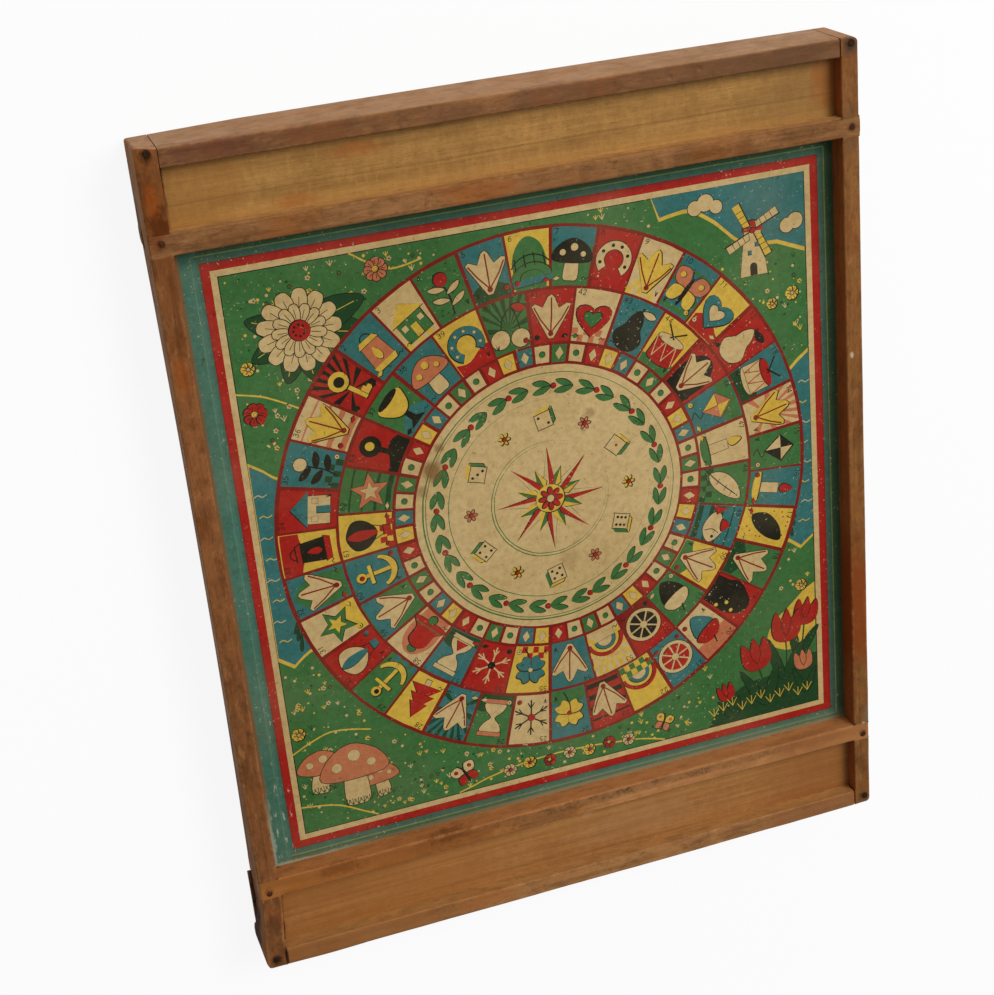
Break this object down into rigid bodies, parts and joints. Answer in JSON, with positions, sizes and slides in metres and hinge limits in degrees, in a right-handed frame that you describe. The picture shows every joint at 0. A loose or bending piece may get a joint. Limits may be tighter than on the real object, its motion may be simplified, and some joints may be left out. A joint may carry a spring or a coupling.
{
  "type": "game of goose board",
  "caption": "Upright wooden game board: nailed frame round a recessed printed track, a shallow counter tray at each end and wells with sliding lids behind the trays.",
  "frame": {"origin": "middle of the frame's back face", "axes": "+X across the board to the right of the print, +Y towards the top of the print, +Z out of the printed face"},
  "size_m": [0.373, 0.46, 0.0325],
  "materials": {
    "rail_wood": "old stained beech, satin, worn along the edges",
    "board_wood": "bare fibre-faced board, matt",
    "printed_paper": "litho print on paper, varnished thinly, aged",
    "tray_ply": "thin yellow veneer, satin",
    "lid_wood": "dark stained beech, matt",
    "nail_iron": "dark oxidised iron, dull"
  },
  "bodies": {
    "frame": {"left_side_rail": "rail_wood", "right_side_rail": "rail_wood", "top_end_rail": "rail_wood", "bottom_end_rail": "rail_wood", "upper_cross_rail": "rail_wood", "lower_cross_rail": "rail_wood", "game_board": "board_wood", "printed_sheet": "printed_paper", "upper_tray_floor": "tray_ply", "lower_tray_floor": "tray_ply", "corner_nails": "nail_iron", "cross_rail_nails": "nail_iron"},
    "upper_lid": {"upper_storage_lid": "lid_wood"},
    "lower_lid": {"lower_storage_lid": "lid_wood"}
  },
  "joints": [
    {"name": "upper_lid_slide", "type": "slide", "parent": "frame", "child": "upper_lid", "axis": [-1, 0, 0], "range_m": [0, 0.366]},
    {"name": "lower_lid_slide", "type": "slide", "parent": "frame", "child": "lower_lid", "axis": [-1, 0, 0], "range_m": [0, 0.366]}
  ]
}
